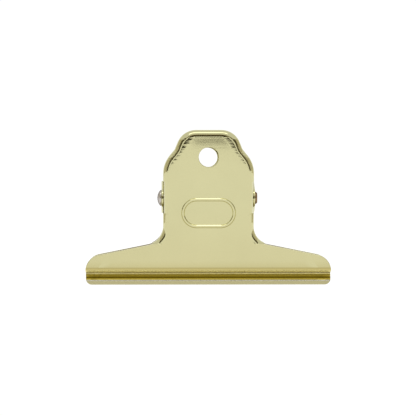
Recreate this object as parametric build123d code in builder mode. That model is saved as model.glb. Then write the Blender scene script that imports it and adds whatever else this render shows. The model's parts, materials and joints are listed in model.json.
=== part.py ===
"""Bulldog clip: two pressed steel plates on a riveted pin, held shut by a torsion spring.

Millimetres. The clip stands on its jaw lips, shut, with the front plate towards -Y, the jaws
along X and the handles up Z. The origin is under the middle of the clip.

Heights are measured from the table. "Out" is a distance from the middle plane of the clip
towards the plate being made, so both plates share every size.
"""

import os
from math import asin, atan2, ceil, cos, degrees, hypot, pi, radians, sin, sqrt, tan

from build123d import *

# Sheet and stance
sheet = 0.6  # thickness of both plates
lean = 9.0  # degrees that each plate leans out, jaws shut
foot_out = 2.48  # outer face from the middle plane, carried down to the table

# Jaw, seen from the front
jaw_width = 68.45  # at the corners of its ends, before their radius
lip_width = 67.5  # the jaw's ends draw in a little towards the table
jaw_end_height = 7.48  # where the sloping top edge meets the jaw's ends
jaw_end_radius = 4.6
lip_corner_radius = 1.65
neck_width = 25.06
neck_root = 11.78  # where the sloping top edge meets the neck
neck_radius = 5.15

# Grip groove, seen from the side
lip_foot_out = 2.05  # outer face of the lip at the table
lip_top_out = 2.25  # and at its fold
lip_inner = 0.15  # inside radius of that fold
nose_gap = 0.15  # left between the two jaws' noses
groove_height = 3.14
groove_radius = 0.35
groove_under = 47.0  # slopes of the groove's sides, degrees
groove_over = 4.5
shoulder_inner = 1.0  # inside radius where the groove runs out into the face

# Handle crown, seen from the front
crown_shoulder = 33.3  # height of its lowest corners
waist_rise = 3.92  # from the shoulder up to the waist
top_rise = 5.25  # and from the waist up to the top
crown_waist_width = 18.6
crown_top_width = 14.34
shoulder_radius = 8.1
waist_radius = 2.0
crown_radius = 5.4
hole_below_top = 7.22
hole_diameter = 5.5

# Rim turned back round the handle, from the root of the neck up
rim_start = 11.3
rim_inner = 1.0  # inside radius of the rim, and of the ears, which are its deeper stretches
rim_depth = 1.9  # from the face back

# Ears and pin
pin_height = 24.0
pin_diameter = 2.3
ear_low = 19.6  # the ears' roots along the neck
ear_high = 28.4
ear_tip_radius = 2.7
ear_inset = 0.28  # of the front plate's ears from the sides of its rim
ear_gap = 0.1  # between the ears of the two plates
ear_flat = 0.3  # flat stretch of the neck beside each ear's fold
pin_hole_tight = 0.02  # radial, in the ears that hold the pin
pin_hole_free = 0.05  # radial, in the ears that turn on it
head_diameter = 4.35
head_height = 1.15
peen_diameter = 3.4
peen_height = 0.64
peen_bevel = 0.35

# Pressed oval on the front
oval_length = 15.0
oval_width = 8.4
oval_height = 19.9
bead_width = 0.9
bead_rise = 0.25

# Torsion spring
wire = 1.2
wire_sides = 10
coil_radius = 2.25  # to the middle of the wire
coil_pitch = 1.8
coil_turns = 3  # whole turns, plus the part turn between the legs
leg_length = 10.0
leg_gap = 0.15  # between a leg's end and the handle

crown_waist = crown_shoulder + waist_rise
crown_top = crown_waist + top_rise
hole_height = crown_top - hole_below_top
along_face = 1 / cos(radians(lean))  # along the leaning face for each unit of height
beyond = jaw_width  # past the clip in any direction, for trimming


def on_face(height, inward=0.0):
    """The side view's (out, height) point on a plate's outer face, or inward of it."""
    up = height / cos(radians(lean))
    return (
        foot_out + up * sin(radians(lean)) - inward * cos(radians(lean)),
        height + inward * sin(radians(lean)),
    )


def groove_corners():
    """The side view's corners where the lip, groove and face meet, before their radii."""
    under, over, rise = radians(groove_under), radians(groove_over), tan(radians(lean))
    reach = groove_radius / sin((under + over) / 2)
    deep = nose_gap / 2 + sheet + groove_radius - reach * cos((over - under) / 2)
    high = groove_height - reach * sin((over - under) / 2)
    fold = high - (lip_top_out - deep) * tan(under)
    run = (foot_out + high * rise - deep) / (cos(over) - sin(over) * rise)
    return (lip_top_out, fold), (deep, high), on_face(high + run * sin(over))


def draw_outline(low, high, inset=0.0):
    """A plate's outline on its face between two heights, or drawn in from its edge."""
    neck = neck_width / 2
    foot = (lip_foot_out - foot_out) * sin(radians(lean))  # the table, at the lip
    right = [
        (lip_width / 2, foot),
        (jaw_width / 2, jaw_end_height * along_face),
        (neck, neck_root * along_face),
        (neck, crown_shoulder * along_face),
        (crown_waist_width / 2, crown_waist * along_face),
        (crown_top_width / 2, crown_top * along_face),
    ]
    radii = [
        lip_corner_radius, jaw_end_radius, neck_radius, shoulder_radius, waist_radius, crown_radius
    ]
    left = [(-x, y) for x, y in reversed(right)]
    with BuildLine() as outline:
        FilletPolyline(*right, *left, radius=radii + radii[::-1], close=True)
    make_face(outline.edges())
    if inset:
        offset(amount=-inset, mode=Mode.REPLACE)
    with Locations((0, (low + high) / 2 * along_face)):
        Rectangle(2 * jaw_width, (high - low) * along_face, mode=Mode.INTERSECT)


def press_plate(facing, ear_outer, pin_hole, with_oval):
    """One pressed plate. facing is -1 for the front plate and 1 for the back plate."""
    side = Plane(origin=(0, 0, 0), x_dir=(0, facing, 0), z_dir=(facing, 0, 0))
    face_normal = (0, facing * cos(radians(lean)), -sin(radians(lean)))
    face = Plane(origin=(0, facing * foot_out, 0), x_dir=(-facing, 0, 0), z_dir=face_normal)
    low, high = ear_low * along_face, ear_high * along_face
    ear_root = ear_outer - sheet - rim_inner - ear_flat

    # Space inside the turned rim
    with BuildPart() as hollow:
        with BuildSketch(face.offset(-sheet)):
            draw_outline(rim_start - sheet, crown_top + sheet, inset=sheet)
        extrude(amount=-2 * rim_depth)
        floor = hollow.faces().sort_by(Axis((0, 0, 0), face_normal))[-1]
        fillet(floor.edges().sort_by(Axis.Z)[1:], rim_inner)

    # Jaw, groove and neck, folded from one strip
    with BuildPart() as body:
        with BuildSketch(side):
            fold, deepest, shoulder = groove_corners()
            with BuildLine():
                FilletPolyline(
                    (lip_foot_out - (lip_top_out - lip_foot_out) / fold[1], -1),
                    fold,
                    deepest,
                    shoulder,
                    on_face(rim_start + 2),
                    radius=[lip_inner + sheet, groove_radius, shoulder_inner + sheet],
                )
                offset(amount=sheet, side=Side.LEFT)
            make_face()
        extrude(amount=jaw_width / 2, both=True)
        with BuildSketch(face):
            draw_outline(-sheet, rim_start)
        extrude(amount=beyond, both=True, mode=Mode.INTERSECT)

    # Ears, folded back from the neck and rounded about the pin
    with BuildPart() as ears:
        fold = Plane(origin=face.from_local_coords((0, low, 0)), x_dir=face.x_dir, z_dir=face.y_dir)
        with BuildSketch(fold):
            with BuildLine():
                FilletPolyline(
                    (ear_root, 0),
                    (ear_outer, 0),
                    (ear_outer, beyond),
                    radius=rim_inner + sheet,
                )
                offset(amount=sheet, side=Side.LEFT)
            make_face()
            mirror(about=Plane.YZ)
        extrude(amount=high - low)
        with BuildSketch(side):
            with Locations((0, pin_height)):
                Circle(ear_tip_radius)
            with BuildLine():
                Polyline(
                    on_face(ear_low, -1), on_face(ear_high, -1),
                    on_face(ear_high, sheet + rim_inner), on_face(ear_low, sheet + rim_inner),
                    close=True,
                )
            make_face()
            make_hull()
        extrude(amount=beyond, both=True, mode=Mode.INTERSECT)
        with BuildSketch(side):
            with Locations((0, pin_height)):
                Circle(pin_diameter / 2 + pin_hole)
        extrude(amount=beyond, both=True, mode=Mode.SUBTRACT)

    with BuildPart() as plate:
        with BuildSketch(face):
            draw_outline(rim_start, crown_top + sheet)
        extrude(amount=-rim_depth)
        outside = plate.faces().sort_by(Axis((0, 0, 0), face_normal))[-1]
        fillet(outside.edges().sort_by(Axis.Z)[1:], rim_inner + sheet)
        add(hollow.part, mode=Mode.SUBTRACT)
        add(body.part)
        with BuildSketch(face):
            for way in (-1, 1):
                with Locations((way * (ear_root + neck_width / 2), (low + high) / 2)):
                    Rectangle(neck_width, high - low)
        extrude(amount=2 * rim_depth, both=True, mode=Mode.SUBTRACT)
        add(ears.part)
        with BuildSketch(face):
            with Locations((0, hole_height * along_face)):
                Circle(hole_diameter / 2)
        extrude(amount=2 * rim_depth, both=True, mode=Mode.SUBTRACT)
        if with_oval:
            for level, mode in ((-sheet, Mode.SUBTRACT), (0, Mode.ADD)):
                with BuildSketch(face.offset(level)):
                    with Locations((0, oval_height * along_face)):
                        SlotOverall(oval_length, oval_width)
                        SlotOverall(
                            oval_length - 2 * bead_width, oval_width - 2 * bead_width,
                            mode=Mode.SUBTRACT,
                        )
                extrude(amount=bead_rise, mode=mode)
            bead = plate.faces().sort_by(Axis((0, 0, 0), face_normal))[-1]
            chamfer(bead.edges(), bead_rise * 0.9)
    return plate


def cap(pole, base_radius, height):
    """A spherical cap of the pin's head, from its base to its pole on the pin's axis."""
    radius = (base_radius**2 + height**2) / (2 * height)
    half = degrees(asin(base_radius / radius))
    CenterArc((pole + radius, pin_height), radius, 180 - half, half)


def biarc(start, start_way, end, end_way):
    """Two arcs that leave start and reach end along the given unit ways."""
    chord, both = end - start, start_way + end_way
    spread = 2 * (1 - start_way.dot(end_way))
    across = chord.dot(both)
    reach = (sqrt(across**2 + spread * chord.dot(chord)) - across) / spread
    first, last = start + start_way * reach, end - end_way * reach
    middle = (first + last) * 0.5
    TangentArc(start, middle, tangent=start_way)
    TangentArc(middle, end, tangent=last - first)


def least_gap(path):
    """Clear space between the wire and itself, on points along its middle."""
    count = 1500
    points = [path.position_at(i / count) for i in range(count + 1)]
    apart = ceil(pi * coil_radius / path.length * count)
    return min(
        (a - b).length for i, a in enumerate(points) for b in points[i + apart :]
    ) - wire


# The back plate's ears pass outside the front plate's
ear_outer_front = neck_width / 2 - ear_inset
ear_outer_back = ear_outer_front + ear_gap + sheet
front_plate = press_plate(-1, ear_outer_front, pin_hole_free, True)
back_plate = press_plate(1, ear_outer_back, pin_hole_tight, False)

# Pin: domed head on the left, shank, peened end on the right
with BuildPart() as pivot_pin:
    with BuildSketch(Plane.XZ):
        with BuildLine():
            head_top = -ear_outer_back - head_height
            peen_top = ear_outer_back + peen_height
            dome = 0.7  # share of the head's height that is domed
            cap(head_top, head_diameter / 2, dome * head_height)
            Polyline(
                (head_top + dome * head_height, pin_height + head_diameter / 2),
                (-ear_outer_back, pin_height + head_diameter / 2),
                (-ear_outer_back, pin_height + pin_diameter / 2),
                (ear_outer_back, pin_height + pin_diameter / 2),
                (ear_outer_back, pin_height + peen_diameter / 2),
                (peen_top - peen_bevel, pin_height + peen_diameter / 2),
                (peen_top, pin_height + peen_diameter / 2 - peen_bevel),
                (peen_top, pin_height),
            )
            Line((head_top, pin_height), (peen_top, pin_height))
        make_face()
    revolve(axis=Axis((0, 0, pin_height), (1, 0, 0)))

# Spring: the front leg runs down to the coil, which winds under the pin and on along X until
# it reaches the back leg, so that squeezing the handles winds the coil tighter
face_reach = foot_out * cos(radians(lean)) + pin_height * sin(radians(lean)) - sheet
tip_reach = face_reach - wire / 2 - leg_gap
leg_lean = radians(lean) + asin(tip_reach / hypot(coil_radius, leg_length)) - atan2(
    coil_radius, leg_length
)
turn_start = pi + leg_lean
turn_end = 2 * pi * (coil_turns + 1) - leg_lean
climb = coil_pitch / (2 * pi)
coil_half = climb * (turn_end - turn_start) / 2


def coil_point(turn):
    x = climb * (turn - turn_start) - coil_half
    return Vector(x, coil_radius * cos(turn), pin_height + coil_radius * sin(turn))


def coil_way(turn):
    return Vector(climb, -coil_radius * sin(turn), coil_radius * cos(turn)).normalized()


with BuildPart() as torsion_spring:
    with BuildLine() as route:
        leg_down = Vector(0, sin(leg_lean), -cos(leg_lean))
        leg_up = Vector(0, sin(leg_lean), cos(leg_lean))
        front_tip = coil_point(turn_start) - leg_down * leg_length
        Line(front_tip, coil_point(turn_start))
        spans = ceil((turn_end - turn_start) / pi)
        turns = [turn_start + (turn_end - turn_start) * i / spans for i in range(spans + 1)]
        ways = [leg_down] + [coil_way(turn) for turn in turns[1:-1]] + [leg_up]
        for i in range(spans):
            biarc(coil_point(turns[i]), ways[i], coil_point(turns[i + 1]), ways[i + 1])
        Line(coil_point(turn_end), coil_point(turn_end) + leg_up * leg_length)
    with BuildSketch(Plane(origin=front_tip, z_dir=leg_down)) as section:
        RegularPolygon(wire / 2, wire_sides)
    sweep()

spring_path = route.wires()[0]
print("least gap in the spring", round(least_gap(spring_path), 3))
swept = spring_path.length * section.sketch.area
print("spring volume", round(torsion_spring.part.volume, 2), "of", round(swept, 2))

os.makedirs("parts", exist_ok=True)
for name, piece in (
    ("front_plate", front_plate),
    ("back_plate", back_plate),
    ("pivot_pin", pivot_pin),
    ("torsion_spring", torsion_spring),
):
    piece.part.label = name
    export_step(piece.part, f"parts/{name}.step")
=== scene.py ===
"""Bulldog clip in pale gold plating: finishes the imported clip, lights it and sets the camera.

Lengths in metres, in the frame's own axes: front plate towards -Y, jaws along X, handles up Z.
"""

import json
import math

import bmesh
import bpy
from mathutils import Matrix, Vector


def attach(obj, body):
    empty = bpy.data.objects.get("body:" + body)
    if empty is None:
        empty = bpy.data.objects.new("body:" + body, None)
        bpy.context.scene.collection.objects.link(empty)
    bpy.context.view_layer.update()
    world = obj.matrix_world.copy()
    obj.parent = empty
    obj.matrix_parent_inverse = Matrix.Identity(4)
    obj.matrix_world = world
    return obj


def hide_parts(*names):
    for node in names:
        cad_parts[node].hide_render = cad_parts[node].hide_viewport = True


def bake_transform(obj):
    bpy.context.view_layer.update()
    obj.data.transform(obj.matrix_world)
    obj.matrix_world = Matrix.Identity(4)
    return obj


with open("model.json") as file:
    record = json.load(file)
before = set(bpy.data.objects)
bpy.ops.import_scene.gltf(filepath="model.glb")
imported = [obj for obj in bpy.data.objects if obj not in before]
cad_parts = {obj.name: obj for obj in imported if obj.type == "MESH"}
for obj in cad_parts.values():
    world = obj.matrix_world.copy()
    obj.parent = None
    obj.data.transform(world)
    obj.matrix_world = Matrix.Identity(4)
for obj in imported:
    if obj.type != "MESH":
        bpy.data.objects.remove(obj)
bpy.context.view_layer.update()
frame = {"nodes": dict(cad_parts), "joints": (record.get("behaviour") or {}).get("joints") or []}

MM = 0.001

# Clip
SHEET = 0.6 * MM
LEAN = math.radians(9.0)
FOOT_OUT = 2.48 * MM
HINGE = next(j for j in frame["joints"] if j["name"] == "jaw_hinge")
PIN_HEIGHT = HINGE["pos_m"][2]

# Cut edges
EDGE_ROUND = 0.12 * MM  # that pressing and barrel polishing leave on the plates
PIN_ROUND = 0.1 * MM
ROUND_STEPS = 4
CUT_ANGLE = math.radians(38)  # least turn of a cut edge
SHARP_ANGLE = math.radians(25)  # least turn that is shaded as a crease
SAME_POINT = 0.5e-6
SAME_PLANE = math.radians(0.5)

# Stretches of a plate's outline that are rounded: heights, and distances from the middle planes
LIP_TO = 0.9 * MM
SHOULDER_FROM = 3.0 * MM
FACE_FROM = 4.9 * MM
JAW_TO = 11.3 * MM
NECK_ROOT_OUT = 16.5 * MM
EARS_FROM = 13.0 * MM
EAR_OUT = 3.8 * MM
CROWN_FROM = 30.0 * MM

# Spring
WIRE = 1.2 * MM
COIL_RADIUS = 2.25 * MM
COIL_PITCH = 1.8 * MM
COIL_TURNS = 3
LEG_LENGTH = 10.0 * MM
LEG_GAP = 0.15 * MM
TIP_ROUND = 0.15 * MM
WIRE_SIDES = 20
TURN_STEPS = 36

# Plating
GOLD = (0.648, 0.619, 0.351)
GOLD_PATCHES = (0.622, 0.594, 0.335)
# Painted shade: the lip's tone, darker than the plating
LIP = (0.565, 0.54, 0.325)
# Painted highlight: pale tone on the lip's fold and on a line along the groove's upper wall
PAINTED_HIGHLIGHT = (1.0, 0.98, 0.87)
SHADED = (0.3, 0.24, 0.035)
# Painted reflection: deeper gold for light bounced between the groove's walls
PAINTED_BOUNCE_GOLD = (0.585, 0.5, 0.155)
# Painted shade: near black in the groove's crease and under its roof
PAINTED_DEEP_SHADE = (0.165, 0.125, 0.012)
# Painted reflection: bright band on the jaw's shoulder
PAINTED_SHOULDER_REFLECTION = (1.0, 0.94, 0.48)
# Painted shade: darker band on the face just above the shoulder
PAINTED_FACE_SHADE = (0.63, 0.56, 0.25)
JAW_FADE = 4.3 * MM  # the jaw's tones fade out from here
JAW_TONES = 4.75 * MM  # to here
# Millimetres up the jaw, and a tone of painted light and shade: lip and its fold, groove's lower side,
# crease, roof, shoulder
JAW_STOPS = (
    (0.95, LIP), (1.18, PAINTED_HIGHLIGHT), (1.4, SHADED), (1.6, PAINTED_BOUNCE_GOLD), (1.9, PAINTED_DEEP_SHADE), (2.1, PAINTED_DEEP_SHADE),
    (2.45, PAINTED_BOUNCE_GOLD), (2.8, SHADED), (3.0, PAINTED_HIGHLIGHT), (3.25, PAINTED_DEEP_SHADE), (3.45, PAINTED_SHOULDER_REFLECTION), (3.8, PAINTED_SHOULDER_REFLECTION),
    (4.1, PAINTED_FACE_SHADE), (4.35, PAINTED_FACE_SHADE),
)
# Millimetres up the jaw, and wear from 0 to 1
JAW_RUBS = ((0.0, 0.6), (1.1, 0.6), (1.4, 0.0), (3.25, 0.0), (3.4, 1.0), (3.8, 1.0), (4.2, 0.0))
RUB_ROUGHNESS = 0.5

# Press marks, with heights of the surface in millimetres
SLOPE_FALL = 1.5  # of the crown's slopes, along Z for each step along X
SLOPE_LINE = (SLOPE_FALL * 6.25 + 40.9) * MM
SLOPE_REACH = 4.4 * MM
MARKS_FROM = 29.5 * MM
MARKS_FULL = 33.5 * MM
MARKS_AT_SLOPE = 2.1
MARKS_ELSEWHERE = 0.12
DRAW_MARKS = 0.024
DISH = 0.14
WAVES = 0.007

# Pin
PEENED_FROM = 12.8 * MM
PEENED_FULL = 13.1 * MM

# Photograph
FRAME_WIDTH = 115.5 * MM  # seen across the picture at the clip
AIM = Vector((-0.05 * MM, 0.0, 21.2 * MM))
CAMERA_AZIMUTH = math.radians(-1.2)
CAMERA_ELEVATION = math.radians(1.0)
CAMERA_DISTANCE = 0.62
SENSOR = 36.0

# Studio
PAPER = (0.02, 0.02, 0.02)  # under its own light
ON_TABLE = 0.05 * MM


def new_material(name):
    """A material, its node tree and the inputs of its shader."""
    material = bpy.data.materials.new(name)
    material.use_nodes = True
    tree = material.node_tree
    return material, tree, tree.nodes["Principled BSDF"].inputs


def new_metal(name):
    """As new_material, with the place on the surface."""
    material, tree, shader = new_material(name)
    shader["Metallic"].default_value = 1.0
    return material, tree, shader, surface_place(tree)


def surface_place(tree):
    return tree.nodes.new("ShaderNodeTexCoord").outputs["Object"]


def along(tree, place, axis):
    split = tree.nodes.new("ShaderNodeSeparateXYZ")
    tree.links.new(place, split.inputs["Vector"])
    return split.outputs[axis]


def noise(tree, place, scale, detail, stretch=(1, 1, 1)):
    mapping = tree.nodes.new("ShaderNodeMapping")
    mapping.inputs["Scale"].default_value = stretch
    tree.links.new(place, mapping.inputs["Vector"])
    texture = tree.nodes.new("ShaderNodeTexNoise")
    texture.inputs["Scale"].default_value = scale
    texture.inputs["Detail"].default_value = detail
    tree.links.new(mapping.outputs["Vector"], texture.inputs["Vector"])
    return texture.outputs["Fac"]


def spread(tree, value, low, high, start=0.3, end=0.7):
    """Maps start..end to low..high; left out, they are a texture's middle range."""
    node = tree.nodes.new("ShaderNodeMapRange")
    for socket, number in (("From Min", start), ("From Max", end), ("To Min", low), ("To Max", high)):
        node.inputs[socket].default_value = number
    tree.links.new(value, node.inputs["Value"])
    return node.outputs["Result"]


def sized(tree, value):
    """The value without its sign."""
    node = tree.nodes.new("ShaderNodeMath")
    node.operation = "ABSOLUTE"
    tree.links.new(value, node.inputs[0])
    return node.outputs["Value"]


def product(tree, first, second):
    node = tree.nodes.new("ShaderNodeMath")
    node.operation = "MULTIPLY"
    tree.links.new(first, node.inputs[0])
    tree.links.new(second, node.inputs[1])
    return node.outputs["Value"]


def added(tree, first, factor, second):
    """first * factor + second, where second is a number or another node's output."""
    node = tree.nodes.new("ShaderNodeMath")
    node.operation = "MULTIPLY_ADD"
    tree.links.new(first, node.inputs[0])
    node.inputs[1].default_value = factor
    if isinstance(second, float):
        node.inputs[2].default_value = second
    else:
        tree.links.new(second, node.inputs[2])
    return node.outputs["Value"]


def mixed(tree, factor, first, second):
    """From first to second by the factor, each a tone or another node's output."""
    node = tree.nodes.new("ShaderNodeMix")
    node.data_type = "RGBA"
    tree.links.new(factor, node.inputs["Factor"])
    for socket, tone in (("A", first), ("B", second)):
        if isinstance(tone, tuple):
            node.inputs[socket].default_value = (*tone, 1)
        else:
            tree.links.new(tone, node.inputs[socket])
    return node.outputs["Result"]


def ramp_of(tree, value, stops):
    """Colours by a value from 0 to 1, as (position, colour) from low to high."""
    ramp = tree.nodes.new("ShaderNodeValToRGB")
    tree.links.new(value, ramp.inputs["Fac"])
    for number in range(1, len(stops) - 1):
        ramp.color_ramp.elements.new(number / len(stops))
    for stop, (position, tone) in zip(ramp.color_ramp.elements, stops):
        stop.position, stop.color = position, (*tone, 1)
    return ramp.outputs["Color"]


def bumped(tree, shader, height, strength, distance):
    bump = tree.nodes.new("ShaderNodeBump")
    bump.inputs["Strength"].default_value = strength
    bump.inputs["Distance"].default_value = distance
    tree.links.new(height, bump.inputs["Height"])
    tree.links.new(bump.outputs["Normal"], shader["Normal"])


def gold_plating():
    """Bright pale gold flash on polished sheet, with painted light and shade in bands up the jaw,
    rougher where rubbed there, press-marked on the crown.
    """
    material, tree, shader, place = new_metal("gold_plating")
    height = along(tree, place, "Z")

    patches = spread(tree, noise(tree, place, 90.0, 3.0), 0.0, 1.0)
    tint = mixed(tree, patches, GOLD, GOLD_PATCHES)
    up_jaw = spread(tree, height, 0.0, 1.0, 0.0, JAW_TONES)
    # Painted highlights, reflections and shade up the jaw, in place of the plating's tint up to
    # JAW_FADE and fading out by JAW_TONES
    painted_light = ramp_of(tree, up_jaw, [(z * MM / JAW_TONES, tone) for z, tone in JAW_STOPS])
    jaw = spread(tree, height, 1.0, 0.0, JAW_FADE, JAW_TONES)
    tree.links.new(mixed(tree, jaw, tint, painted_light), shader["Base Color"])

    rubs = ramp_of(tree, up_jaw, [(z * MM / JAW_TONES, (wear,) * 3) for z, wear in JAW_RUBS])
    lines = noise(tree, place, 500.0, 4.0, (0.06, 1.0, 1.0))
    rough = added(tree, rubs, RUB_ROUGHNESS, spread(tree, lines, 0.06, 0.10))
    tree.links.new(rough, shader["Roughness"])

    # The press leaves the sheet a little dished beside the crown's slopes, with draw marks there
    to_slope = added(tree, sized(tree, along(tree, place, "X")), SLOPE_FALL, height)
    near_slope = spread(tree, to_slope, 0.0, 1.0, SLOPE_LINE - SLOPE_REACH, SLOPE_LINE)
    crown = spread(tree, height, 0.0, 1.0, MARKS_FROM, MARKS_FULL)
    crown = product(tree, crown, added(tree, near_slope, MARKS_AT_SLOPE, MARKS_ELSEWHERE))
    marks = noise(tree, place, 1600.0, 2.0, (0.08, 1.0, 1.0))
    surface = added(tree, noise(tree, place, 70.0, 1.0), WAVES, 0.0)
    surface = added(tree, product(tree, marks, crown), DRAW_MARKS, surface)
    surface = added(tree, product(tree, near_slope, near_slope), -DISH, surface)
    bumped(tree, shader, surface, 1.0, MM)
    return material


def nickel_pin():
    """Nickel-plated rivet with the dull marks of the hammer, dark brown towards its peened end."""
    material, tree, shader, place = new_metal("nickel_pin")
    shader["Specular Tint"].default_value = (0.25, 0.22, 0.20, 1)
    marks = noise(tree, place, 900.0, 3.0)
    nickel = mixed(tree, spread(tree, marks, 0.0, 1.0), (0.64, 0.61, 0.58), (0.50, 0.46, 0.41))
    peened = spread(tree, along(tree, place, "X"), 0.0, 1.0, PEENED_FROM, PEENED_FULL)
    tree.links.new(mixed(tree, peened, nickel, (0.26, 0.175, 0.09)), shader["Base Color"])
    tree.links.new(spread(tree, marks, 0.16, 0.34), shader["Roughness"])
    bumped(tree, shader, marks, 0.4, 0.02 * MM)
    return material


def drawn_wire():
    """Spring wire, grey, with a thin film of oil in patches."""
    material, tree, shader, place = new_metal("drawn_wire")
    film = spread(tree, noise(tree, place, 420.0, 4.0), 0.0, 1.0)
    tree.links.new(mixed(tree, film, (0.50, 0.49, 0.46), (0.36, 0.34, 0.31)), shader["Base Color"])
    grain = noise(tree, place, 2500.0, 2.0)
    tree.links.new(spread(tree, grain, 0.22, 0.38), shader["Roughness"])
    bumped(tree, shader, grain, 0.3, 0.01 * MM)
    return material


def matt_paint(name, tone, glow=0.0):
    """Matt paint, or paper lit through where it glows."""
    material, _, shader = new_material(name)
    shader["Base Color"].default_value = (*tone, 1)
    shader["Roughness"].default_value = 1.0
    shader["Emission Color"].default_value = (1, 1, 1, 1)
    shader["Emission Strength"].default_value = glow
    return material


def keep(bm, name, material):
    """Turns a bmesh into a smooth-shaded piece."""
    mesh = bpy.data.meshes.new(name)
    bm.to_mesh(mesh)
    bm.free()
    mesh.polygons.foreach_set("use_smooth", [True] * len(mesh.polygons))
    mesh.set_sharp_from_angle(angle=SHARP_ANGLE)
    mesh.materials.append(material)
    piece = bpy.data.objects.new(name, mesh)
    bpy.context.scene.collection.objects.link(piece)
    return piece


def on_outline(edge):
    """Whether a cut edge of a plate lies away from the tight roots of its folds."""
    middle = (edge.verts[0].co + edge.verts[1].co) / 2
    x, y, z = abs(middle.x), abs(middle.y), middle.z
    lip = z < LIP_TO
    jaw = SHOULDER_FROM < z < FACE_FROM or FACE_FROM <= z < JAW_TO and x > NECK_ROOT_OUT
    ear = EARS_FROM < z < CROWN_FROM and y < EAR_OUT
    return lip or jaw or ear or z >= CROWN_FROM


def finished_copy(node, name, material, rounding, chosen=None):
    """The node's own form with its cut edges rounded and its bends shaded as one surface."""
    bm = bmesh.new()
    bm.from_mesh(frame["nodes"][node].data)
    bmesh.ops.remove_doubles(bm, verts=bm.verts, dist=SAME_POINT)
    bmesh.ops.dissolve_limit(
        bm, angle_limit=SAME_PLANE, verts=bm.verts, edges=bm.edges,
        use_dissolve_boundaries=False, delimit=set(),
    )
    cut = [e for e in bm.edges if e.is_manifold and e.calc_face_angle() > CUT_ANGLE]
    bmesh.ops.bevel(
        bm, geom=[e for e in cut if chosen is None or chosen(e)], offset=rounding,
        offset_type="OFFSET", segments=ROUND_STEPS, profile=0.5, affect="EDGES",
        clamp_overlap=False, material=-1,
    )
    piece = keep(bm, name, material)
    weighted = piece.modifiers.new("bend_shading", "WEIGHTED_NORMAL")
    weighted.keep_sharp = True
    return piece


def wound_spring(material):
    """Coil round the pin, with a straight leg up behind each handle."""
    face_reach = FOOT_OUT * math.cos(LEAN) + PIN_HEIGHT * math.sin(LEAN) - SHEET
    tip_reach = face_reach - WIRE / 2 - LEG_GAP
    leg_lean = (
        LEAN
        + math.asin(tip_reach / math.hypot(COIL_RADIUS, LEG_LENGTH))
        - math.atan2(COIL_RADIUS, LEG_LENGTH)
    )
    start = math.pi + leg_lean
    turn = math.tau * (COIL_TURNS + 1) - leg_lean - start
    length = COIL_PITCH * turn / math.tau
    steps = TURN_STEPS * (COIL_TURNS + 1)

    bm = bmesh.new()
    bmesh.ops.create_circle(bm, cap_ends=False, segments=WIRE_SIDES, radius=WIRE / 2)
    first = list(bm.edges)
    # The ring stands in the plane of the pin's axis and the coil's radius
    outward = Vector((0, math.cos(start), math.sin(start)))
    onward = Vector((0, -math.sin(start), math.cos(start)))
    place = Matrix((Vector((1, 0, 0)), outward, onward)).transposed().to_4x4()
    place.translation = Vector((-length / 2, 0, PIN_HEIGHT)) + outward * COIL_RADIUS
    bmesh.ops.transform(bm, matrix=place, verts=bm.verts)
    coil = bmesh.ops.spin(
        bm, geom=first, cent=(0, 0, PIN_HEIGHT), axis=(1, 0, 0), dvec=(length / steps, 0, 0),
        angle=turn, steps=steps, use_merge=False, use_duplicate=False,
    )
    last = [g for g in coil["geom_last"] if isinstance(g, bmesh.types.BMEdge)]
    ways = (
        (first, Vector((0, -math.sin(leg_lean), math.cos(leg_lean)))),
        (last, Vector((0, math.sin(leg_lean), math.cos(leg_lean)))),
    )
    # Each leg grows as a straight stretch and two short ones that round its tip
    stretches = ((LEG_LENGTH - TIP_ROUND, 1.0), (TIP_ROUND * 0.7, 0.85), (TIP_ROUND * 0.3, 0.6))
    for ring, way in ways:
        for reach, size in stretches:
            grown = bmesh.ops.extrude_edge_only(bm, edges=ring)["geom"]
            ring = [g for g in grown if isinstance(g, bmesh.types.BMEdge) and g.is_boundary]
            verts = list(dict.fromkeys(v for e in ring for v in e.verts))
            bmesh.ops.translate(bm, verts=verts, vec=way * reach)
            middle = sum((v.co for v in verts), Vector()) / len(verts)
            bmesh.ops.scale(
                bm, verts=verts, vec=(size, size, size), space=Matrix.Translation(-middle)
            )
        bmesh.ops.contextual_create(bm, geom=ring)
    bmesh.ops.recalc_face_normals(bm, faces=bm.faces)
    spring = keep(bm, "wound_spring", material)
    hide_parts("torsion_spring")
    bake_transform(spring)


def dress_clip():
    gold, nickel = gold_plating(), nickel_pin()
    for node, name, material, rounding, chosen, body, slot in (
        ("front_plate", "front_pressing", gold, EDGE_ROUND, on_outline, "front_jaw", "plating"),
        ("back_plate", "back_pressing", gold, EDGE_ROUND, on_outline, "back_jaw", "plating"),
        ("pivot_pin", "riveted_pin", nickel, PIN_ROUND, None, "back_jaw", "pin_steel"),
    ):
        piece = finished_copy(node, name, material, rounding, chosen)
        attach(piece, body)
        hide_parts(node)
    wound_spring(drawn_wire())


def sheet_of(name, corners, material, seen=True):
    """A flat sheet of the studio, which the camera may be kept from seeing."""
    bm = bmesh.new()
    bm.faces.new([bm.verts.new(corner) for corner in corners])
    sheet = keep(bm, name, material)
    sheet.visible_camera = seen


def lying(left, right, near, far, up=0.0):
    """Corners of a level sheet."""
    return (left, near, up), (right, near, up), (right, far, up), (left, far, up)


def standing(start, end, low, high):
    """Corners of an upright sheet between two places on the floor."""
    return (*start, low), (*end, low), (*end, high), (*start, high)


def white_surround():
    """A wide ball that only fills the picture's background: it lights and mirrors nothing."""
    paper = matt_paint("surround_paper", PAPER, 1.0)
    paper.cycles.emission_sampling = "NONE"
    bm = bmesh.new()
    bmesh.ops.create_uvsphere(bm, u_segments=48, v_segments=24, radius=3.0)
    ball = keep(bm, "surround", paper)
    ball.visible_diffuse = ball.visible_glossy = ball.visible_transmission = False
    ball.visible_shadow = False


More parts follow.
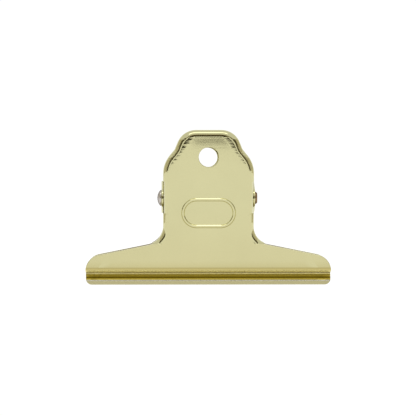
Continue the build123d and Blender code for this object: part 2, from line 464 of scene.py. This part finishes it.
def backlit_paper():
    """Table that ends a little in front of the clip, and a wall far behind, both lit through."""
    paper = matt_paint("white_paper", PAPER, 1.0)
    side, front, back = 1.6, -0.158, 1.1
    sheet_of("table", lying(-side, side, front, back), paper)
    sheet_of("wall", standing((-side, back), (side, back), -0.4, 0.8), paper)
    # Low cards stand to the left and right of the camera, out of the picture
    for name, way in (("left_card", -1), ("right_card", 1)):
        sheet_of(name, standing((way * 0.1, -0.47), (way * 0.27, -0.42), -0.06, 0.083), paper)


def contact_shade():
    """The clip's soft shade on the table, seen only in its own reflection: the picture is cut out."""
    shade = matt_paint("contact_shade", PAPER, 1.0)
    tree = shade.node_tree
    near, reach = 2 * MM, 70 * MM
    away = spread(tree, along(tree, surface_place(tree), "Y"), 0.0, 1.0, -near, -reach)
    stops = (
        (2.0, (0.90, 0.87, 0.79)), (5.0, (0.86, 0.82, 0.71)), (7.5, (0.74, 0.68, 0.53)),
        (11.0, (0.76, 0.70, 0.57)), (16.0, (0.91, 0.87, 0.77)), (21.0, (0.98, 0.96, 0.93)),
        (70.0, (1.0, 1.0, 1.0)),
    )
    tones = [((distance * MM - near) / (reach - near), tone) for distance, tone in stops]
    glow = tree.nodes["Principled BSDF"].inputs["Emission Color"]
    tree.links.new(ramp_of(tree, away, tones), glow)
    wide = 80 * MM
    sheet_of("contact_shade", lying(-wide, wide, -reach, -near, ON_TABLE), shade, seen=False)


def dark_room():
    """Dim room round the camera, darkest behind it: the dark line along the rim."""
    dark = matt_paint("unlit_paint", (0.065, 0.052, 0.03))
    dusk = matt_paint("dusk_paint", (0.16, 0.14, 0.085))
    dim = matt_paint("dim_paint", (0.34, 0.28, 0.17))
    pale = matt_paint("pale_paint", (0.72, 0.68, 0.56))
    back, front, end = -1.0, -0.42, 0.5
    wide, left, right = 0.84, -0.7, 0.7
    floor, rail, top, foot, wall_top = -0.27, 0.2, 0.5, -0.1, 0.42
    for name, corners, paint in (
        ("unlit_back", standing((-wide, back), (wide, back), floor, rail), dark),
        ("dim_back", standing((-wide, back), (wide, back), rail, top), dim),
        ("unlit_left", standing((left, back), (left, front), foot, wall_top), dusk),
        ("unlit_right", standing((right, back), (right, front), foot, wall_top), dusk),
        ("pale_left", standing((left, front), (left, end), foot, wall_top), pale),
        ("pale_right", standing((right, front), (right, end), foot, wall_top), pale),
        # A narrow strip on the table, mirrored between the hole and the rim
        ("unlit_strip", lying(-2 * MM, 11 * MM, -140 * MM, -134 * MM, ON_TABLE), dark),
    ):
        sheet_of(name, corners, paint, seen=False)


def soft_box(name, place, aim, size, power):
    light = bpy.data.lights.new(name, "AREA")
    light.shape, light.size, light.size_y = "RECTANGLE", *size
    light.energy = power
    lamp = bpy.data.objects.new(name, light)
    lamp.location = place
    lamp.rotation_euler = (Vector(aim) - Vector(place)).to_track_quat("-Z", "Y").to_euler()
    bpy.context.scene.collection.objects.link(lamp)


def light_studio():
    """A pale room and one soft box over the camera."""
    world = bpy.data.worlds.new("pale_room")
    world.use_nodes = True
    world.node_tree.nodes["Background"].inputs["Color"].default_value = (0.85, 0.85, 0.84, 1)
    bpy.context.scene.world = world
    soft_box("over_camera_box", (0, -0.3, 0.75), (0, 0, 0.02), (0.9, 0.22), 0.92)


def set_camera():
    data = bpy.data.cameras.new("product_camera")
    data.sensor_width = SENSOR
    data.lens = SENSOR * CAMERA_DISTANCE / FRAME_WIDTH
    data.clip_start, data.clip_end = 0.01, 10
    camera = bpy.data.objects.new("product_camera", data)
    back = Vector((
        math.sin(CAMERA_AZIMUTH) * math.cos(CAMERA_ELEVATION),
        -math.cos(CAMERA_AZIMUTH) * math.cos(CAMERA_ELEVATION),
        math.sin(CAMERA_ELEVATION),
    ))
    camera.location = AIM + back * CAMERA_DISTANCE
    camera.rotation_euler = (-back).to_track_quat("-Z", "Y").to_euler()
    bpy.context.scene.collection.objects.link(camera)
    bpy.context.scene.camera = camera
    bpy.context.scene.view_settings.view_transform = "Standard"


dress_clip()
white_surround()
backlit_paper()
contact_shade()
dark_room()
light_studio()
set_camera()
